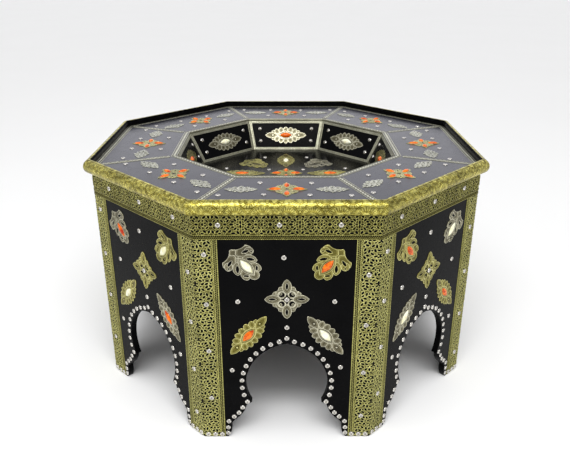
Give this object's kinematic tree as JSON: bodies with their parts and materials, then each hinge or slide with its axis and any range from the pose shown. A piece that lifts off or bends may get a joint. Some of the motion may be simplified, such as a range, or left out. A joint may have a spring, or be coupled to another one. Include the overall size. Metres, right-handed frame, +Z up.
{
  "type": "octagonal low table",
  "caption": "Low octagonal table with arched legs, pierced brass corners and bands, a brass-clad rim, inlaid medallions and a sunken well in the top.",
  "frame": {"origin": "on the floor under the middle of the table", "axes": "+Z up, face 1 of the octagon looks along -Y, +X to the right of someone facing it"},
  "size_m": [0.7602, 0.7602, 0.467],
  "materials": {
    "black_board": "black lacquer, satin",
    "black_top": "black lacquer, gloss",
    "bare_wood": "plain sawn, stained dark",
    "brass_sheet": "pierced and embossed, aged",
    "rim_brass": "engraved, polished",
    "pale_brass": "polished strip",
    "nickel": "nickel silver, stamped",
    "amber": "polished resin cabochon",
    "bone": "polished bone-coloured cabochon"
  },
  "bodies": {
    "root": {"side_panel_1": "black_board", "side_panel_2": "black_board", "side_panel_3": "black_board", "side_panel_4": "black_board", "side_panel_5": "black_board", "side_panel_6": "black_board", "side_panel_7": "black_board", "side_panel_8": "black_board", "corner_trim_1": "brass_sheet", "corner_trim_2": "brass_sheet", "corner_trim_3": "brass_sheet", "corner_trim_4": "brass_sheet", "corner_trim_5": "brass_sheet", "corner_trim_6": "brass_sheet", "corner_trim_7": "brass_sheet", "corner_trim_8": "brass_sheet", "frieze_band_1": "brass_sheet", "frieze_band_2": "brass_sheet", "frieze_band_3": "brass_sheet", "frieze_band_4": "brass_sheet", "frieze_band_5": "brass_sheet", "frieze_band_6": "brass_sheet", "frieze_band_7": "brass_sheet", "frieze_band_8": "brass_sheet", "rim_cladding_1": "rim_brass", "rim_cladding_2": "rim_brass", "rim_cladding_3": "rim_brass", "rim_cladding_4": "rim_brass", "rim_cladding_5": "rim_brass", "rim_cladding_6": "rim_brass", "rim_cladding_7": "rim_brass", "rim_cladding_8": "rim_brass", "top_panel_1": "black_top", "top_panel_2": "black_top", "top_panel_3": "black_top", "top_panel_4": "black_top", "top_panel_5": "black_top", "top_panel_6": "black_top", "top_panel_7": "black_top", "top_panel_8": "black_top", "well_wall_1": "black_board", "well_wall_2": "black_board", "well_wall_3": "black_board", "well_wall_4": "black_board", "well_wall_5": "black_board", "well_wall_6": "black_board", "well_wall_7": "black_board", "well_wall_8": "black_board", "rim_core": "bare_wood", "rim_lip": "black_board", "corner_posts": "bare_wood", "top_boards": "bare_wood", "tabletop_strips": "pale_brass", "well_strips": "pale_brass", "well_floor": "black_board", "nickel_ornaments": "nickel", "brass_ornaments": "brass_sheet", "amber_stones": "amber", "pale_stones": "bone", "studs": "nickel"}
  },
  "joints": []
}
